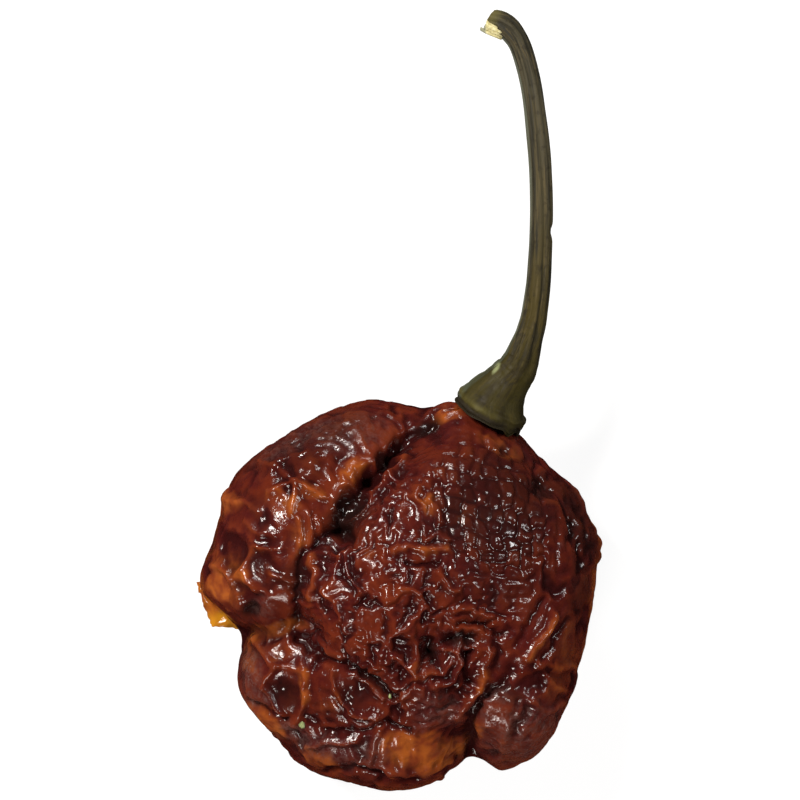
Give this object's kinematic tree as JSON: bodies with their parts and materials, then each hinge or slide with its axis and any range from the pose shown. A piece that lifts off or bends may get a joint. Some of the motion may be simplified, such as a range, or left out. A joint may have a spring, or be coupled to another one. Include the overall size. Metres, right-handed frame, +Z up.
{
  "type": "dried chilli pepper",
  "caption": "Whole dried chilli pepper lying on its side: a wrinkled, shrunken pod with a woody calyx and a long curved stem.",
  "frame": {"origin": "on the surface that the pepper lies on, below the middle of its bounding box", "axes": "+Z up, +Y from the pod towards the tip of the stem, +X to the right seen from above with the stem at the far end"},
  "size_m": [0.0348, 0.0678, 0.0196],
  "materials": {
    "chilli_skin": "dried chilli skin, dark red-brown, glossy and finely wrinkled, amber where it is thin",
    "calyx_wood": "dried calyx, dark olive, dull, with a pale rim",
    "stem_bark": "dried stem, olive to grey-brown, ribbed along its length",
    "stem_pith": "pale cream fibrous pith"
  },
  "bodies": {
    "root": {"pod": "chilli_skin", "calyx": "calyx_wood", "stem": "stem_bark", "stem_pith": "stem_pith"}
  },
  "joints": []
}
